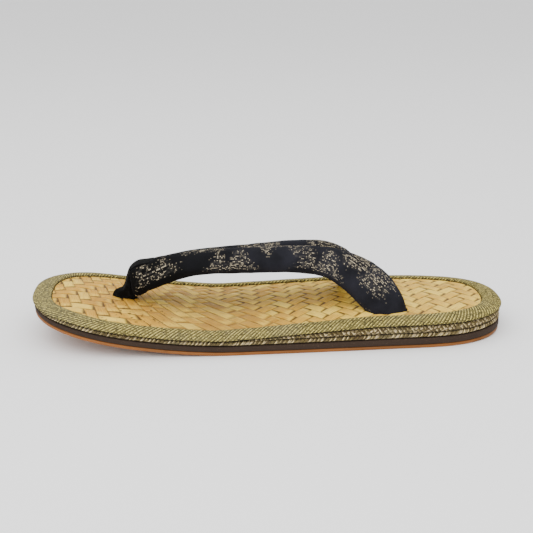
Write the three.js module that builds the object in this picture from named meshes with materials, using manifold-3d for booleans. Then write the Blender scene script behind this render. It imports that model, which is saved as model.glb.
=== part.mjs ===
// Zori sandal: a straw mat in a cloth binding, on wrapped layers and a rubber sole, with a
// padded V strap and a toe post. Millimetres. +Z is up, the toe points to -Y, X is across.
// The sole is the same on both sides of X = 0, so the sandal fits either foot.
import * as THREE from "three";
import { mergeVertices } from "three/addons/utils/BufferGeometryUtils.js";
import Module from "manifold-3d";

// ---- driving dimensions ----
const length = 270;
const gap = 0.3; // air left between pieces that touch
const toeCap = { long: 63.5, power: 2.62, steps: 12 };
const heelCap = { long: 58, power: 2.47, steps: 12 };
const sideSteps = 11; // outline steps between the two caps
// half width of the outline before the caps round it off, by distance from the toe tip
const widths = [
  { along: 30, half: 49.6 },
  { along: 85, half: 49.9 },
  { along: 150, half: 47.4 },
  { along: 215, half: 43.9 },
  { along: 250, half: 43.3 },
];
const toeSpring = { rise: 16.9, from: 112, power: 1.65 };
const heelLift = { rise: 1.2, from: 236, power: 1.6 };

// thickness of each layer at the sole's edge, bottom to top
const outsoleThick = 2.2;
const midsoleThick = { toe: 2.6, heel: 4.1 };
const lowerThick = { full: 2.6, tip: 0.9, fadeOver: 26 }; // thins out round the toe
const wedge = { rise: 4.5, from: 104, to: 190, blunt: 121, easing: 0.35 };
const matThick = 3.0;
// the mat swells this much towards the middle, at these shares of its half width
const matCrown = { rise: 2.4, over: 40, shares: [0.8, 0.5, 0.2, -0.2, -0.5, -0.8] };
const bindingProud = 1.0; // how far the binding's inner edge stands over the mat
const lowerInset = 1.0; // the layers under the binding stop this far inside its edge
const outsoleInset = 1.3;
const chamfers = { rubber: 0.4, lower: 0.25, wedge: 0.2, mat: 0.5 };
const mergeWithin = 1e-3;
const bindingWide = { toe: 10.6, side: 10.2, heel: 11.4, fadeOver: 60 };

// the binding's section: inset is a share of its width, height a share of its own rise
const bindingSection = [
  { inset: 1.0, height: 1.0 },
  { inset: 0.86, height: 1.03 },
  { inset: 0.6, height: 1.0 },
  { inset: 0.34, height: 0.9 },
  { inset: 0.14, height: 0.72 },
  { inset: 0.03, height: 0.48 },
  { inset: 0.0, height: 0.28 },
  { inset: 0.03, height: 0.08 },
  { inset: 0.1, height: 0.0 },
  { inset: 1.0, height: 0.0 },
];

// One arm of the strap, from its nose behind the toe post to its rear anchor. along is from the toe
// tip, out is from the middle, up is over the ground, and lean tips the section's top edge towards
// the middle. The far arm, on the -X side, lies a little off the near one: farAlong and farUp.
const strapRows = [
  { along: 55.2, out: 3.2, up: 29.1, wide: 17, thick: 6, lean: 8, farAlong: 0, farUp: -0.6 },
  { along: 58, out: 4.2, up: 29.8, wide: 17.6, thick: 8.2, lean: 14, farAlong: 0, farUp: -0.8 },
  { along: 62.4, out: 4.9, up: 32.2, wide: 17.2, thick: 9, lean: 25, farAlong: 0, farUp: -0.9 },
  { along: 68, out: 5.4, up: 34.2, wide: 17.2, thick: 9.4, lean: 36, farAlong: 0, farUp: -1 },
  { along: 76, out: 6, up: 37, wide: 16.6, thick: 9.5, lean: 46, farAlong: 0, farUp: -1.3 },
  { along: 85, out: 6.6, up: 39.5, wide: 16.2, thick: 9.5, lean: 53, farAlong: 0, farUp: -1.7 },
  { along: 96, out: 7.1, up: 41.2, wide: 16.6, thick: 9.6, lean: 57, farAlong: 0, farUp: -1.8 },
  { along: 124, out: 7.4, up: 42.2, wide: 17.5, thick: 9.6, lean: 57, farAlong: 0, farUp: -0.8 },
  { along: 150, out: 8, up: 42.5, wide: 18, thick: 9.6, lean: 56, farAlong: -1, farUp: 0.8 },
  { along: 168, out: 9.6, up: 40.6, wide: 19.4, thick: 9.4, lean: 48, farAlong: -3, farUp: 1.2 },
  { along: 178, out: 12, up: 37, wide: 21.4, thick: 9.2, lean: 36, farAlong: -4.4, farUp: 0.2 },
  { along: 186.5, out: 15.4, up: 32.2, wide: 23.4, thick: 9, lean: 26, farAlong: -6.5, farUp: -2 },
  { along: 193, out: 19.4, up: 26.9, wide: 24, thick: 9, lean: 20, farAlong: -6.5, farUp: -2 },
  { along: 198.3, out: 23.4, up: 21, wide: 22.4, thick: 8.8, lean: 17, farAlong: -5, farUp: 0 },
  { along: 201.4, out: 26.2, up: 14.4, wide: 20.4, thick: 8.4, lean: 14, farAlong: -4, farUp: 0 },
  { along: 203, out: 28.2, up: 7.5, wide: 19.4, thick: 8.2, lean: 12, farAlong: -3, farUp: 0 },
];
const strapSteps = 34;
const strapSides = 14;
const strapRoundness = 2.3; // 2 is an ellipse, more is flatter on its faces

// The toe post: a cloth loop that comes up through the front hole and over the strap's front end
const postRows = [
  { along: 50.2, up: 14.5, wide: 6.6, thick: 11 },
  { along: 50.2, up: 20.3, wide: 7.6, thick: 10.6 },
  { along: 51, up: 22.8, wide: 9.4, thick: 8.6 },
  { along: 52.4, up: 25.4, wide: 10, thick: 6 },
  { along: 53.8, up: 28.2, wide: 10, thick: 4.4 },
  { along: 54.9, up: 32.5, wide: 10.2, thick: 3.8 },
  { along: 56.6, up: 36.3, wide: 10.6, thick: 3.6 },
  { along: 60, up: 38.8, wide: 10.8, thick: 3.4 },
  { along: 65, up: 39.6, wide: 10.4, thick: 3.2 },
  { along: 69.5, up: 40.4, wide: 9.4, thick: 3 },
];
const postSteps = 18;
const postSides = 12;

// ---- small helpers ----
const clamp01 = (x) => Math.min(1, Math.max(0, x));
const smooth = (x) => clamp01(x) ** 2 * (3 - 2 * clamp01(x));
const radians = (degrees) => (degrees * Math.PI) / 180;

// A column of a table at x, on a smooth curve through its rows
function column(rows, key, name, x) {
  const last = rows.length - 1;
  const at = Math.min(Math.max(x, rows[0][key]), rows[last][key]);
  const i = Math.min(rows.findLastIndex((row) => row[key] <= at), last - 1);
  const slope = (k) => {
    const before = rows[Math.max(k - 1, 0)];
    const after = rows[Math.min(k + 1, last)];
    return (after[name] - before[name]) / (after[key] - before[key]);
  };
  const span = rows[i + 1][key] - rows[i][key];
  const t = (at - rows[i][key]) / span;
  const ends = (1 + 2 * t) * (1 - t) ** 2 * rows[i][name] + t * t * (3 - 2 * t) * rows[i + 1][name];
  return ends + span * (t * (1 - t) ** 2 * slope(i) - t * t * (1 - t) * slope(i + 1));
}

// ---- the sole's outline and heights, from the distance along it ----
function outlineHalf() {
  const points = [];
  const add = (along, cap) => {
    points.push({ along, out: column(widths, "along", "half", along) * cap });
  };
  const quarter = Math.PI / 2;
  for (let i = 0; i < toeCap.steps; i++) {
    const angle = (quarter * i) / toeCap.steps;
    const power = 2 / toeCap.power;
    add(toeCap.long * (1 - Math.cos(angle) ** power), Math.sin(angle) ** power);
  }
  for (let i = 0; i <= sideSteps; i++) {
    add(toeCap.long + ((length - toeCap.long - heelCap.long) * i) / sideSteps, 1);
  }
  for (let i = heelCap.steps - 1; i >= 0; i--) {
    const angle = (quarter * i) / heelCap.steps;
    const power = 2 / heelCap.power;
    add(length - heelCap.long * (1 - Math.cos(angle) ** power), Math.sin(angle) ** power);
  }
  return points;
}

// The near half of the outline with the direction into the sole at each point
const outline = outlineHalf().map((point, i, all) => {
  const before = all[i - 1] ?? { along: all[1].along, out: -all[1].out };
  const after = all[i + 1] ?? { along: all[i - 1].along, out: -all[i - 1].out };
  const du = after.along - before.along;
  const dw = after.out - before.out;
  const size = Math.hypot(du, dw);
  return { ...point, inAlong: dw / size, inOut: -du / size };
});

const groundHeight = (along) =>
  toeSpring.rise * clamp01(1 - along / toeSpring.from) ** toeSpring.power +
  heelLift.rise * clamp01((along - heelLift.from) / (length - heelLift.from)) ** heelLift.power;
const outsoleTop = (along) => groundHeight(along) + outsoleThick;
const midsoleTop = (along) =>
  outsoleTop(along) + midsoleThick.toe + ((midsoleThick.heel - midsoleThick.toe) * along) / length;
const lowerTop = (along) =>
  midsoleTop(along) +
  lowerThick.tip +
  (lowerThick.full - lowerThick.tip) * smooth(along / lowerThick.fadeOver);
function wedgeTop(along) {
  const share = clamp01((along - wedge.from) / (wedge.to - wedge.from));
  const eased = wedge.easing * smooth(share) + (1 - wedge.easing) * share;
  return lowerTop(along) + wedge.rise * eased;
}
const matTop = (along) => wedgeTop(along) + matThick;
const bindingWidth = (along) =>
  bindingWide.side +
  (bindingWide.toe - bindingWide.side) * clamp01(1 - along / bindingWide.fadeOver) +
  (bindingWide.heel - bindingWide.side) * clamp01(1 - (length - along) / bindingWide.fadeOver);

// A point in from the outline, as [x, y, z] with the toe towards -Y
function edgePoint(point, inset, height, side = 1) {
  const along = point.along + inset * point.inAlong;
  const out = Math.max(0, point.out + inset * point.inOut);
  return [side * out, along - length / 2, height(along)];
}

// ---- solids ----
// A closed skin over rows of points. Each row is one closed section; the rows join end to end,
// or the first and last are capped.
function skin(rows, { loop = false } = {}) {
  const count = rows[0].length;
  const index = [];
  const last = loop ? rows.length : rows.length - 1;
  for (let r = 0; r < last; r++) {
    for (let k = 0; k < count; k++) {
      const a = r * count + k;
      const b = r * count + ((k + 1) % count);
      const c = ((r + 1) % rows.length) * count + k;
      const d = ((r + 1) % rows.length) * count + ((k + 1) % count);
      index.push(a, b, d, a, d, c);
    }
  }
  // a cap is strips between the two halves of its section, and vanishes where the halves meet
  const cap = (r, turned) => {
    for (let k = 0; k < count / 2 - 1; k++) {
      const [a, b, c, d] = [k, k + 1, count - 2 - k, count - 1 - k].map((i) => i + r * count);
      index.push(...(turned ? [a, b, c, a, c, d] : [c, b, a, d, c, a]));
    }
  };
  if (!loop) {
    cap(0, false);
    cap(rows.length - 1, true);
  }
  const geometry = new THREE.BufferGeometry();
  geometry.setAttribute("position", new THREE.Float32BufferAttribute(rows.flat(2), 3));
  geometry.setIndex(index);
  return outward(withoutSlivers(mergeVertices(geometry, mergeWithin)));
}

// Drops triangles whose corners have merged, as at the toe and heel tips
function withoutSlivers(geometry) {
  const kept = [];
  const { array } = geometry.index;
  for (let i = 0; i < array.length; i += 3) {
    const [a, b, c] = [array[i], array[i + 1], array[i + 2]];
    if (a !== b && b !== c && c !== a) kept.push(a, b, c);
  }
  geometry.setIndex(kept);
  return geometry;
}

// Turns every face round if the skin encloses a negative volume
function outward(geometry) {
  const { position } = geometry.attributes;
  const index = [...geometry.index.array];
  const corner = (i) => new THREE.Vector3().fromBufferAttribute(position, index[i]);
  let volume = 0;
  for (let i = 0; i < index.length; i += 3) {
    volume += corner(i).dot(corner(i + 1).cross(corner(i + 2)));
  }
  if (volume < 0) geometry.setIndex(index.reverse());
  return geometry;
}

// A layer that fills the outline: profile lists {inset, height(along)} from its bottom to its top
function layer(profile, from = 0) {
  const stations = outline.filter((point) => point.along >= from);
  const rows = stations.map((point) => [
    ...profile.map(({ inset, height }) => edgePoint(point, inset, height)),
    ...profile.map(({ inset, height }) => edgePoint(point, inset, height, -1)).reverse(),
  ]);
  return skin(rows);
}

// A flat-sided layer between two heights, with a small chamfer on its upper and lower edge
function slab(bottom, top, { inset = lowerInset, chamfer = chamfers.rubber, from = 0 } = {}) {
  return layer(
    [
      { inset: inset + chamfer, height: bottom },
      { inset, height: (along) => bottom(along) + chamfer },
      { inset, height: (along) => top(along) - chamfer },
      { inset: inset + chamfer, height: top },
    ],
    from,
  );
}

function bindingRing() {
  const around = [...outline, ...outline.slice(1, -1).reverse().map((p) => ({ ...p, side: -1 }))];
  const rise = matThick + bindingProud - gap / 2;
  const rows = around.map((point) => {
    const wide = bindingWidth(point.along);
    return bindingSection.map(({ inset, height }) =>
      edgePoint(
        point,
        inset * wide,
        (along) => wedgeTop(along) + gap / 2 + height * rise,
        point.side,
      ),
    );
  });
  return skin(rows, { loop: true });
}

function matSolid() {
  const edge = (extra) => (point) => bindingWidth(point.along) + gap + extra;
  const bottom = (along) => wedgeTop(along) + gap / 2;
  const profile = [
    { inset: edge(0), height: bottom },
    { inset: edge(0), height: (along) => matTop(along) - chamfers.mat },
    { inset: edge(chamfers.mat), height: matTop },
  ];
  const rows = outline.map((point) => {
    const side = (sign) =>
      profile.map(({ inset, height }) => edgePoint(point, inset(point), height, sign));
    const [x, y, z] = side(1).at(-1);
    const swell = (share) => matCrown.rise * (1 - share * share) * (x / matCrown.over) ** 2;
    const across = matCrown.shares.map((share) => [share * x, y, z + swell(share)]);
    return [...side(1), ...across, ...side(-1).reverse()];
  });
  return skin(rows);
}

// Sections along a curve. Each frame gives the section's centre, its wide and its thick direction.
function sweep(frames, sides, grow = 0) {
  const rows = frames.map(({ centre, wideWay, thickWay, wide, thick }) => {
    const row = [];
    for (let k = 0; k < sides; k++) {
      const angle = (2 * Math.PI * k) / sides;
      const round = (value) => Math.sign(value) * Math.abs(value) ** (2 / strapRoundness);
      const point = centre
        .clone()
        .addScaledVector(wideWay, (wide / 2 + grow) * round(Math.cos(angle)))
        .addScaledVector(thickWay, (thick / 2 + grow) * round(Math.sin(angle)));
      row.push(point.toArray());
    }
    return row;
  });
  return skin(rows);
}

// ---- the strap and the toe post ----
const place = ({ along, out = 0, up }) => new THREE.Vector3(out, along - length / 2, up);

// Evenly spaced frames along a table's rows, its other columns smoothed between them
function framesAlong(rows, steps, wideWayFor) {
  const curve = new THREE.CatmullRomCurve3(rows.map(place), false, "centripetal");
  const numbered = rows.map((row, i) => ({ ...row, i }));
  const frames = [];
  for (let s = 0; s <= steps; s++) {
    const t = curve.getUtoTmapping(s / steps);
    const at = t * (rows.length - 1);
    const value = (name) => column(numbered, "i", name, at);
    const tangent = curve.getTangent(t);
    const wideWay = wideWayFor(tangent, value);
    frames.push({
      centre: curve.getPoint(t),
      wideWay,
      thickWay: wideWay.clone().cross(tangent).normalize(),
      wide: value("wide"),
      thick: value("thick"),
    });
  }
  return frames;
}

// The wide way of an arm stands square to its line, tipped by lean
function strapWideWay(tangent, value) {
  const across = new THREE.Vector3(1, 0, 0);
  const standing = across.clone().cross(tangent).normalize();
  const upright = standing.z < 0 ? standing.negate() : standing;
  const inward = tangent.clone().cross(upright).normalize();
  if (inward.x > 0) inward.negate();
  const lean = radians(value("lean"));
  return upright.multiplyScalar(Math.cos(lean)).addScaledVector(inward, Math.sin(lean));
}

const nearArm = framesAlong(strapRows, strapSteps, strapWideWay);
const farRows = strapRows.map((row) => ({
  ...row,
  along: row.along + row.farAlong,
  up: row.up + row.farUp,
}));
const farArm = framesAlong(farRows, strapSteps, strapWideWay);
const postFrames = framesAlong(postRows, postSteps, () => new THREE.Vector3(1, 0, 0));

const wasm = await Module();
wasm.setup();

function toManifold(geometry) {
  return new wasm.Manifold(
    new wasm.Mesh({
      numProp: 3,
      vertProperties: new Float32Array(geometry.attributes.position.array),
      triVerts: new Uint32Array(geometry.index.array),
    }),
  );
}

function fromManifold(solid) {
  const { vertProperties, triVerts } = solid.getMesh();
  const geometry = new THREE.BufferGeometry();
  geometry.setAttribute("position", new THREE.Float32BufferAttribute(vertProperties, 3));
  geometry.setIndex([...triVerts]);
  return withoutSlivers(mergeVertices(geometry, mergeWithin));
}

// Both arms as one solid, grown on every side where a neighbour has to clear it
function strapSolid(grow = 0) {
  const mirrored = sweep(farArm, strapSides, grow).scale(-1, 1, 1);
  return toManifold(sweep(nearArm, strapSides, grow)).add(toManifold(outward(mirrored)));
}

const postSolid = (grow = 0) => toManifold(sweep(postFrames, postSides, grow));

// ---- assembly ----
const half = gap / 2;
const below = (height) => (along) => height(along) - half;
const above = (height) => (along) => height(along) + half;

// strap and post end in the mat's holes, just over the layer under the mat
const underMat = toManifold(
  layer([
    { inset: 0, height: () => -gap },
    { inset: 0, height: above(wedgeTop) },
  ]),
);
const strap = strapSolid().subtract(postSolid(gap)).subtract(underMat);
const post = postSolid().subtract(underMat);
const holes = strapSolid(gap).add(postSolid(gap));
const mat = toManifold(matSolid()).subtract(holes);

const finishes = {
  outsole: { color: 0xb9703c, roughness: 0.7 },
  midsole: { color: 0x33231a, roughness: 0.85 },
  lower_layer: { color: 0x8f845c, roughness: 0.95 },
  heel_wedge: { color: 0x8f845c, roughness: 0.95 },
  edge_binding: { color: 0x9c9168, roughness: 0.95 },
  insole: { color: 0xc9a468, roughness: 0.8 },
  strap: { color: 0x17181d, roughness: 0.95 },
  toe_post: { color: 0x101114, roughness: 0.95 },
};

const shapes = {
  outsole: slab(groundHeight, below(outsoleTop), { inset: outsoleInset }),
  midsole: slab(above(outsoleTop), below(midsoleTop)),
  lower_layer: slab(above(midsoleTop), below(lowerTop), { chamfer: chamfers.lower }),
  heel_wedge: slab(above(lowerTop), below(wedgeTop), {
    chamfer: chamfers.wedge,
    from: wedge.blunt,
  }),
  edge_binding: bindingRing(),
  insole: fromManifold(mat),
  strap: fromManifold(strap),
  toe_post: fromManifold(post),
};

const sandal = new THREE.Group();
for (const [name, geometry] of Object.entries(shapes)) {
  const material = new THREE.MeshStandardMaterial({ metalness: 0, ...finishes[name] });
  const mesh = new THREE.Mesh(geometry, material);
  mesh.name = name;
  sandal.add(mesh);
}

export default sandal;
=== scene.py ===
import math

import bmesh
import bpy
import numpy as np
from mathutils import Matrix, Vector, noise


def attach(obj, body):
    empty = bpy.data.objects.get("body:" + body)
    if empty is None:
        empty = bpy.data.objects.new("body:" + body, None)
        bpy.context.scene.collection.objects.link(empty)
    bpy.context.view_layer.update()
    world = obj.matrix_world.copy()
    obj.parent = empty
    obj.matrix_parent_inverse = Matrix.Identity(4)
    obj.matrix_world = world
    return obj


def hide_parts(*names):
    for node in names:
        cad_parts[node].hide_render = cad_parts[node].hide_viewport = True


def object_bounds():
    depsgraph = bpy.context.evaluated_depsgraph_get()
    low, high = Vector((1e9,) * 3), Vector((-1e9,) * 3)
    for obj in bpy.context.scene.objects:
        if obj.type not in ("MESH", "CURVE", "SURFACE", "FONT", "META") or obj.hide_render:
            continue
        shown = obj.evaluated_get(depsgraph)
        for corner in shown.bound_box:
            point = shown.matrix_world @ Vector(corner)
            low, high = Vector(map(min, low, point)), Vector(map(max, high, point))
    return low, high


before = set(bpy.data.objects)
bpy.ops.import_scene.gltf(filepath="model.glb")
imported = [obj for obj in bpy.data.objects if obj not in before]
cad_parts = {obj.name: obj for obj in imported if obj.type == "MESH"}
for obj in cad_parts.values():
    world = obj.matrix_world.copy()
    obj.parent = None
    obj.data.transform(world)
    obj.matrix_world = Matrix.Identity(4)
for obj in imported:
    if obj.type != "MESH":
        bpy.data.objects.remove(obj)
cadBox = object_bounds()
scene = bpy.context.scene
mm = 0.001
print("packed frame loaded")


# camera and light
cameraSettings = {
    "distance": 0.62235,
    "aimHeight": 0.03567,
    "slide": 0.00165,  # to the left of the aim
    "elevation": 17.31,
    "turn": 3.45,
    "lens": 72.8,
}


def placeCamera(settings):
    tilt, turn = math.radians(settings["elevation"]), math.radians(settings["turn"])
    right = Vector((math.sin(turn), math.cos(turn), 0))
    level = math.cos(tilt)
    away = Vector((math.cos(turn) * level, -math.sin(turn) * level, math.sin(tilt)))
    camera = bpy.data.objects.new("camera", bpy.data.cameras.new("camera"))
    camera.data.lens = settings["lens"]
    camera.data.sensor_width = 36
    camera.data.clip_start = 0.01
    camera.location = Vector((0, 0, settings["aimHeight"]))
    camera.location += away * settings["distance"] - right * settings["slide"]
    camera.rotation_euler = (math.pi / 2 - tilt, 0, math.pi / 2 - turn)
    scene.collection.objects.link(camera)
    scene.camera = camera


placeCamera(cameraSettings)

lightSettings = {
    "worldStrength": 1.2,
    "topPower": 14.5,
    "topSize": 1.7,
    "topPlace": (0.35, -0.15, 1.0),
    "sidePower": 3.0,
    "sideSize": 0.8,
    "sidePlace": (0.9, -0.1, 0.5),
}


def softLight(name, power, size, place):
    light = bpy.data.lights.new(name, "AREA")
    light.energy = power
    light.size = size
    lamp = bpy.data.objects.new(name, light)
    lamp.location = place
    lamp.rotation_euler = (-Vector(place)).to_track_quat("-Z", "Y").to_euler()
    scene.collection.objects.link(lamp)


def lightStage(settings):
    world = bpy.data.worlds.new("studio")
    world.use_nodes = True
    backdrop = world.node_tree.nodes["Background"]
    backdrop.inputs["Color"].default_value = (1, 1, 1, 1)
    backdrop.inputs["Strength"].default_value = settings["worldStrength"]
    scene.world = world
    softLight("topLight", settings["topPower"], settings["topSize"], settings["topPlace"])
    softLight("sideLight", settings["sidePower"], settings["sideSize"], settings["sidePlace"])


lightStage(lightSettings)
print("camera and light placed")


# shader helpers
def tint(red, green, blue):
    # a colour given as on a paint card, 0 to 255, made linear
    linear = [((c / 255 + 0.055) / 1.055) ** 2.4 if c > 10 else c / 3294 for c in (red, green, blue)]
    return (*linear, 1)


def newMaterial(name):
    material = bpy.data.materials.new(name)
    material.use_nodes = True
    return material, material.node_tree, material.node_tree.nodes["Principled BSDF"]


def plug(tree, socket, value):
    if isinstance(value, bpy.types.NodeSocket):
        tree.links.new(value, socket)
    else:
        socket.default_value = value


def calc(tree, operation, a, b=0.0, c=0.0):
    node = tree.nodes.new("ShaderNodeMath")
    node.operation = operation
    for socket, value in zip(node.inputs, (a, b, c)):
        plug(tree, socket, value)
    return node.outputs[0]


def times(tree, *values):
    product = values[0]
    for value in values[1:]:
        product = calc(tree, "MULTIPLY", product, value)
    return product


def plus(tree, *values):
    total = values[0]
    for value in values[1:]:
        total = calc(tree, "ADD", total, value)
    return total


def offMiddle(tree, part):
    # 0 halfway along a stretch of 0 to 1, and 0.5 at both its ends
    return calc(tree, "ABSOLUTE", calc(tree, "SUBTRACT", part, 0.5))


def mixColour(tree, amount, a, b):
    node = tree.nodes.new("ShaderNodeMix")
    node.data_type = "RGBA"
    plug(tree, node.inputs[0], amount)
    plug(tree, node.inputs[6], a)
    plug(tree, node.inputs[7], b)
    return node.outputs[2]


def fade(tree, value, low, high, start=0.0, end=1.0):
    # start below low, end above high, eased between
    node = tree.nodes.new("ShaderNodeMapRange")
    node.interpolation_type = "SMOOTHSTEP"
    plug(tree, node.inputs[0], value)
    for socket, number in zip(node.inputs[1:5], (low, high, start, end)):
        plug(tree, socket, number)
    return node.outputs[0]


def joinVector(tree, x, y, z=0.0):
    node = tree.nodes.new("ShaderNodeCombineXYZ")
    for socket, value in zip(node.inputs, (x, y, z)):
        plug(tree, socket, value)
    return node.outputs[0]


def splitVector(tree, vector):
    node = tree.nodes.new("ShaderNodeSeparateXYZ")
    plug(tree, node.inputs[0], vector)
    return node.outputs


def clothMap(tree, name):
    node = tree.nodes.new("ShaderNodeUVMap")
    node.uv_map = name
    return splitVector(tree, node.outputs[0])


def objectPlace(tree):
    return tree.nodes.new("ShaderNodeTexCoord").outputs["Object"]


def speckle(tree, vector, scale, detail=2.0):
    node = tree.nodes.new("ShaderNodeTexNoise")
    plug(tree, node.inputs["Vector"], vector)
    node.inputs["Scale"].default_value = scale
    node.inputs["Detail"].default_value = detail
    return node.outputs[0]


def chance(tree, x, y=0.0):
    # one random number for each pair of whole numbers
    node = tree.nodes.new("ShaderNodeTexWhiteNoise")
    node.noise_dimensions = "3D"
    plug(tree, node.inputs["Vector"], joinVector(tree, x, y, 3.7))
    return node.outputs["Value"]


def colourSteps(tree, value, steps):
    node = tree.nodes.new("ShaderNodeValToRGB")
    plug(tree, node.inputs[0], value)
    stops = node.color_ramp.elements
    while len(stops) < len(steps):
        stops.new(0.5)
    for stop, (place, colour) in zip(stops, steps):
        stop.position = place
        stop.color = colour
    return node.outputs[0]


def raiseSurface(tree, shader, height, depth, strength):
    node = tree.nodes.new("ShaderNodeBump")
    plug(tree, node.inputs["Height"], height)
    node.inputs["Distance"].default_value = depth
    node.inputs["Strength"].default_value = strength
    tree.links.new(node.outputs[0], shader.inputs["Normal"])


def clothFinish(tree, shader, colour, finish):
    tree.links.new(colour, shader.inputs["Base Color"])
    sockets = ("Roughness", "Specular IOR Level", "Sheen Weight", "Sheen Roughness")
    for socket, value in zip(sockets, finish):
        shader.inputs[socket].default_value = value


# mesh helpers
def curveThrough(rows, x, column, key=0):
    # a smooth curve through a table's rows, read at x
    last = len(rows) - 1
    at = min(max(x, rows[0][key]), rows[last][key])
    i = min(max(k for k in range(len(rows)) if rows[k][key] <= at), last - 1)

    def slope(k):
        before, after = rows[max(k - 1, 0)], rows[min(k + 1, last)]
        return (after[column] - before[column]) / (after[key] - before[key])

    span = rows[i + 1][key] - rows[i][key]
    t = (at - rows[i][key]) / span
    ends = (1 + 2 * t) * (1 - t) ** 2 * rows[i][column] + t * t * (3 - 2 * t) * rows[i + 1][column]
    return ends + span * (t * (1 - t) ** 2 * slope(i) - t * t * (1 - t) * slope(i + 1))


def share(x):
    return min(1, max(0, x))


def eased(x):
    return share(x) ** 2 * (3 - 2 * share(x))


def wrapSheet(name, alongSteps, roundSteps, lay, mapName="cloth"):
    # a grid laid over a shape: lay(s, t) gives each corner's place in mm and its place on the cloth
    bm = bmesh.new()
    cloth = bm.loops.layers.uv.new(mapName)
    bmesh.ops.create_grid(bm, x_segments=alongSteps, y_segments=roundSteps, size=1)
    bm.verts.index_update()
    onCloth = []
    for vert in bm.verts:
        place, spot = lay((vert.co.x + 1) / 2, (vert.co.y + 1) / 2)
        vert.co = Vector(place) * mm
        onCloth.append(spot)
    for face in bm.faces:
        for loop in face.loops:
            loop[cloth].uv = onCloth[loop.vert.index]
    bmesh.ops.remove_doubles(bm, verts=bm.verts, dist=1e-6)
    bmesh.ops.dissolve_degenerate(bm, edges=bm.edges, dist=1e-7)
    bmesh.ops.recalc_face_normals(bm, faces=bm.faces)
    return finishPiece(bm, name)


def finishPiece(bm, name):
    mesh = bpy.data.meshes.new(name)
    bm.to_mesh(mesh)
    bm.free()
    mesh.shade_smooth()
    piece = bpy.data.objects.new(name, mesh)
    scene.collection.objects.link(piece)
    return piece


def reshape(piece, change):
    bm = bmesh.new()
    bm.from_mesh(piece.data)
    change(bm)
    bm.to_mesh(piece.data)
    bm.free()


def roundOff(piece):
    smoother = piece.modifiers.new("roundOff", "SUBSURF")
    smoother.levels = smoother.render_levels = 1


def applyAll(piece):
    # the piece's mesh becomes what its modifiers make of it
    depsgraph = bpy.context.evaluated_depsgraph_get()
    made = bpy.data.meshes.new_from_object(piece.evaluated_get(depsgraph), depsgraph=depsgraph)
    piece.modifiers.clear()
    piece.data = made


def dropCrumbs(bm, fewest=60):
    # loose bits left by a cut go
    left, crumbs = set(bm.faces), []
    while left:
        island, waiting = [], [left.pop()]
        while waiting:
            face = waiting.pop()
            island.append(face)
            near = {other for edge in face.edges for other in edge.link_faces} & left
            left -= near
            waiting += near
        if len(island) < fewest:
            crumbs += island
    bmesh.ops.delete(bm, geom=crumbs, context="FACES")


def dropFlaps(bm):
    # two faces back to back on the same corners enclose nothing
    seen = {}
    for face in bm.faces:
        seen.setdefault(frozenset(face.verts), []).append(face)
    flaps = [face for pair in seen.values() if len(pair) > 1 for face in pair]
    bmesh.ops.delete(bm, geom=flaps, context="FACES")


def closeGaps(bm, reach=2e-6):
    bmesh.ops.remove_doubles(bm, verts=bm.verts, dist=reach)
    bmesh.ops.dissolve_degenerate(bm, edges=bm.edges, dist=reach)
    bmesh.ops.triangulate(bm, faces=[face for face in bm.faces if len(face.verts) > 4])
    dropFlaps(bm)
    dropCrumbs(bm)
    bmesh.ops.delete(bm, geom=[edge for edge in bm.edges if not edge.link_faces], context="EDGES")
    bmesh.ops.delete(bm, geom=[vert for vert in bm.verts if not vert.link_edges], context="VERTS")
    bmesh.ops.holes_fill(bm, edges=[edge for edge in bm.edges if edge.is_boundary])
    dropFlaps(bm)
    bmesh.ops.recalc_face_normals(bm, faces=bm.faces)


def mend(piece):
    reshape(piece, closeGaps)
    piece.data.validate()
    piece.data.shade_smooth()


def cutAway(piece, cutter):
    knife = piece.modifiers.new("cut", "BOOLEAN")
    knife.operation = "DIFFERENCE"
    knife.solver = "EXACT"
    knife.object = cutter
    applyAll(piece)
    mend(piece)


def wear(piece, material, node):
    piece.data.materials.clear()
    piece.data.materials.append(material)
    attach(piece, "root")
    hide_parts(node)


# the sole's outline and heights, in mm from the toe tip
sole = {
    "length": round((cadBox[1][1] - cadBox[0][1]) / mm),
    "toeCap": (63.5, 2.62),  # length, squareness
    "heelCap": (58, 2.47),
    "halfWidths": [(30, 49.6), (85, 49.9), (150, 47.4), (215, 43.9), (250, 43.3)],
    "toeSpring": (16.9, 112, 1.65),  # rise, start, power
    "heelLift": (1.2, 236, 1.6),
    "outsole": 2.2,
    "midsole": (2.6, 4.1),  # at the toe, at the heel
    "lower": (0.9, 2.6, 26),  # at the tip, in full, fades over
    "wedge": (4.5, 104, 190, 121),  # rise, from, to, blunt end
    "mat": 3.0,
    "crown": (2.4, 40),
    "bindingProud": 1.0,
    "bindingWide": (10.6, 10.2, 11.4, 60),  # toe, side, heel, fades over
    "bandInset": 0.9,  # the wrapped layers, behind the outline
    "bandTuck": 1.3,
    "gap": 0.15,
}


def halfOutline(count=3000):
    toeLong, toePower = sole["toeCap"]
    heelLong, heelPower = sole["heelCap"]
    points = []
    for i in range(count + 1):
        turn = i / count * 3
        if turn < 1:
            angle, power = math.pi / 2 * turn, 2 / toePower
            along = toeLong * (1 - max(math.cos(angle), 0) ** power)
            cap = math.sin(angle) ** power
        elif turn <= 2:
            along, cap = toeLong + (sole["length"] - toeLong - heelLong) * (turn - 1), 1
        else:
            angle, power = math.pi / 2 * (3 - turn), 2 / heelPower
            along = sole["length"] - heelLong * (1 - max(math.cos(angle), 0) ** power)
            cap = math.sin(angle) ** power
        points.append((along, curveThrough(sole["halfWidths"], along, 1) * cap))
    return np.array(points)


outlinePoints = halfOutline()
outlineSteps = np.linalg.norm(np.diff(outlinePoints, axis=0), axis=1)
outlineArc = np.concatenate([[0], np.cumsum(outlineSteps)])
halfRound = outlineArc[-1]


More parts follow.
